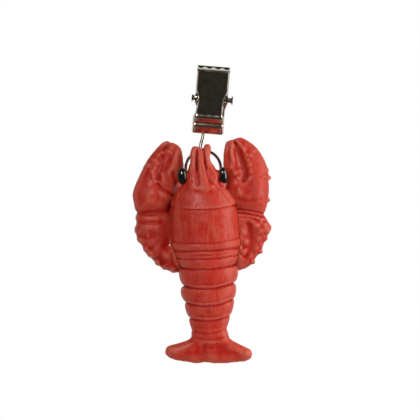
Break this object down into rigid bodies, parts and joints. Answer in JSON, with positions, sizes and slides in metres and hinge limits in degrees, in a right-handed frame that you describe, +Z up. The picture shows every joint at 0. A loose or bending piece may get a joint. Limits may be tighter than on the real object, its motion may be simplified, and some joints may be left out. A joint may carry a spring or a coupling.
{
  "type": "tablecloth weight",
  "caption": "Cast resin lobster that hangs from a sprung toothed clip by a wire link and a jump ring, to hold a tablecloth down.",
  "frame": {"origin": "middle of the clip's grip, where the two toothed lips meet; the lobster hangs below it", "axes": "+Z up towards the cloth that the clip holds, +Y away from the viewer of the lobster's back, +X to the viewer's right"},
  "size_m": [0.0507, 0.0254, 0.1101],
  "materials": {
    "nickel_sheet": "nickel plated pressed steel, polished",
    "nickel_wire": "nickel plated wire, polished",
    "spring_steel": "drawn spring wire",
    "ring_wire": "dark nickel plated wire, polished",
    "resin": "red cast resin, satin with frosted ridges",
    "eye_bead": "black, glossy"
  },
  "bodies": {
    "clip": {"rear_jaw": "nickel_sheet", "pivot_pin": "nickel_wire", "torsion_spring": "spring_steel"},
    "front_jaw": {"front_jaw": "nickel_sheet"},
    "link": {"wire_link": "nickel_wire"},
    "ring": {"hanging_ring": "ring_wire"},
    "lobster": {"eye_pin": "nickel_wire", "body_casting": "resin", "left_claw_arm": "resin", "right_claw_arm": "resin", "left_eye": "eye_bead", "right_eye": "eye_bead"}
  },
  "joints": [
    {"name": "jaw_open", "type": "hinge", "parent": "clip", "child": "front_jaw", "pos_m": [-0.00087, 0.00404, -0.01105], "axis": [0.9969, 0, -0.0785], "range_deg": [0, 18], "stiffness_Nm_per_rad": 0.05, "springref_deg": -28.65, "deforming": ["torsion_spring"]},
    {"name": "link_swing", "type": "hinge", "parent": "clip", "child": "link", "pos_m": [-0.0039, 0.01359, -0.01883], "axis": [1, 0, 0], "range_deg": [-15, 50]},
    {"name": "ring_sway", "type": "hinge", "parent": "link", "child": "ring", "pos_m": [-0.0039, 0.01359, -0.0297], "axis": [0, 1, 0], "range_deg": [-20, 20]},
    {"name": "lobster_nod", "type": "hinge", "parent": "ring", "child": "lobster", "pos_m": [-0.0039, 0.01359, -0.0427], "axis": [1, 0, 0], "range_deg": [-5, 70]}
  ]
}
